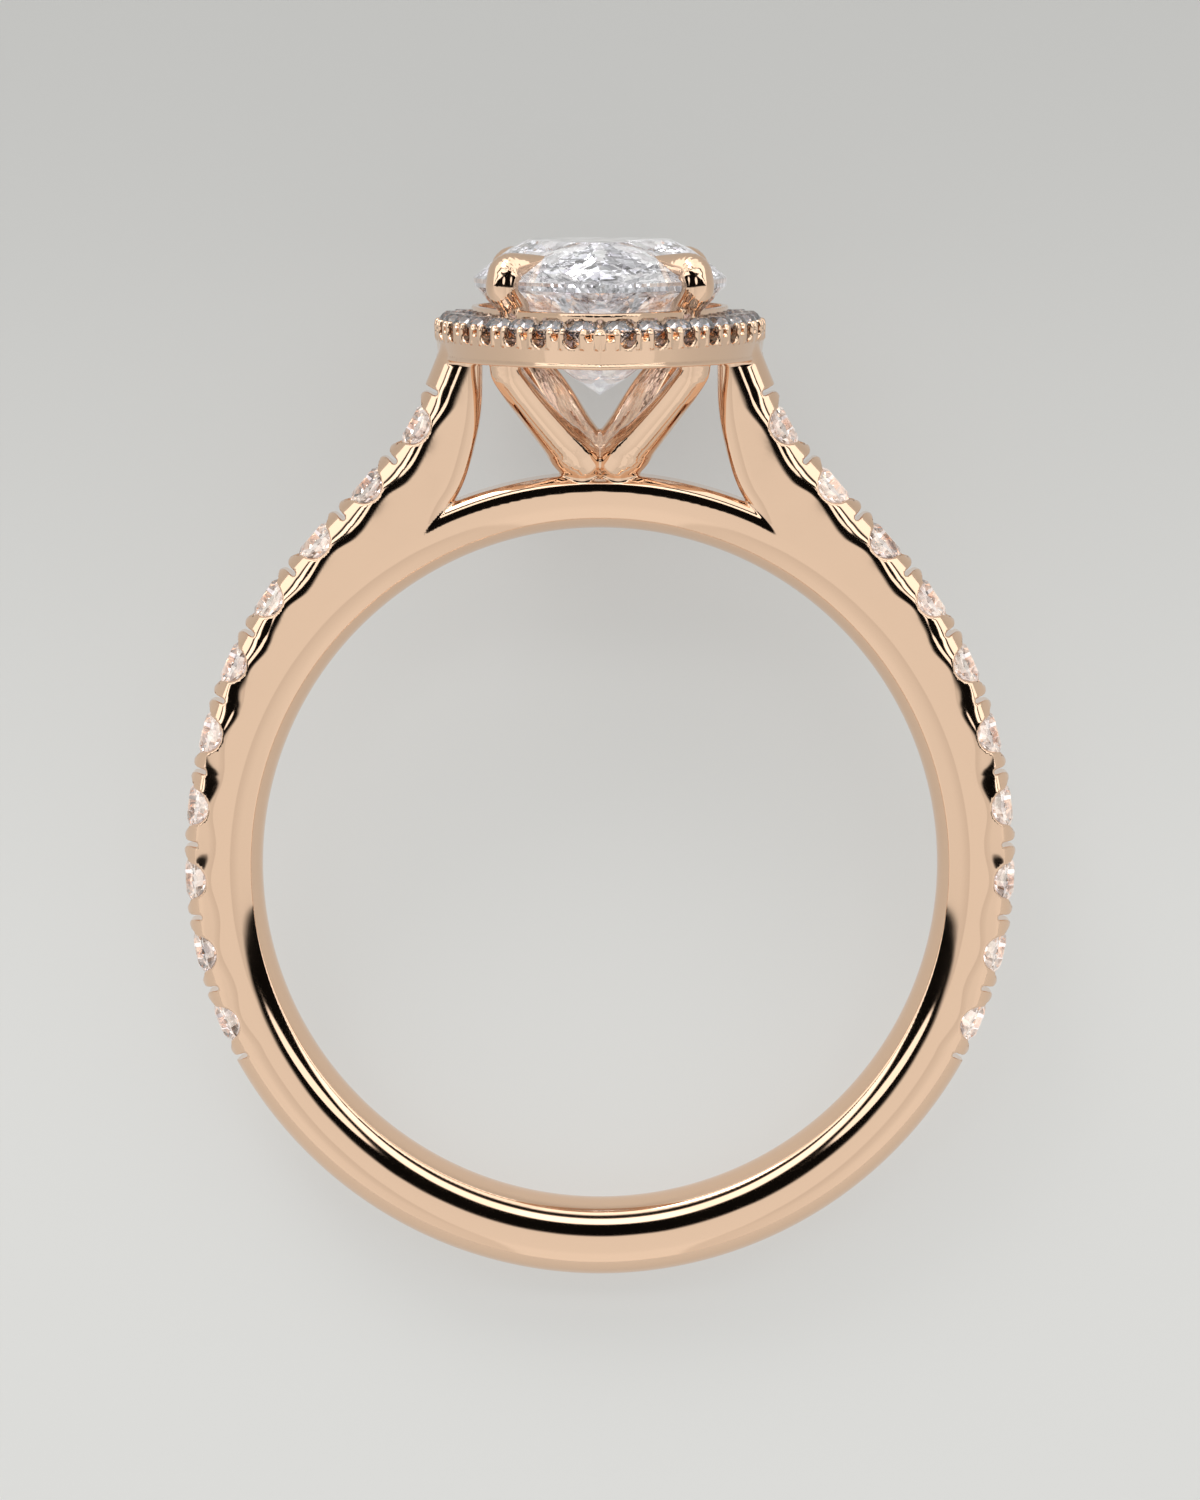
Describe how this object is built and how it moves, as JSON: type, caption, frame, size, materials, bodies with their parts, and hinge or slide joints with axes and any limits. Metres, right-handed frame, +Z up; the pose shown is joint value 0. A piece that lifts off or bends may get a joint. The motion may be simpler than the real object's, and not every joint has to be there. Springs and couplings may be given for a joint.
{
  "type": "halo ring",
  "caption": "Finger ring lying on its side: polished gold band with small stones down both shoulders, and a clawed pear-cut stone over an open basket, in a halo of small stones.",
  "frame": {"origin": "middle of the bounding box's base, on the surface that the ring lies on", "axes": "+Y from the finger hole towards the head, +Z up from the surface, +X across the band"},
  "size_m": [0.0204, 0.0256, 0.0112],
  "materials": {
    "rose_gold": "polished rose gold",
    "diamond": "polished facets"
  },
  "bodies": {
    "root": {"mount": "rose_gold", "centre_stone": "diamond", "shank_stone_left_01": "diamond", "shank_stone_left_02": "diamond", "shank_stone_left_03": "diamond", "shank_stone_left_04": "diamond", "shank_stone_left_05": "diamond", "shank_stone_left_06": "diamond", "shank_stone_left_07": "diamond", "shank_stone_left_08": "diamond", "shank_stone_left_09": "diamond", "shank_stone_left_10": "diamond", "shank_stone_right_01": "diamond", "shank_stone_right_02": "diamond", "shank_stone_right_03": "diamond", "shank_stone_right_04": "diamond", "shank_stone_right_05": "diamond", "shank_stone_right_06": "diamond", "shank_stone_right_07": "diamond", "shank_stone_right_08": "diamond", "shank_stone_right_09": "diamond", "shank_stone_right_10": "diamond"}
  },
  "joints": []
}
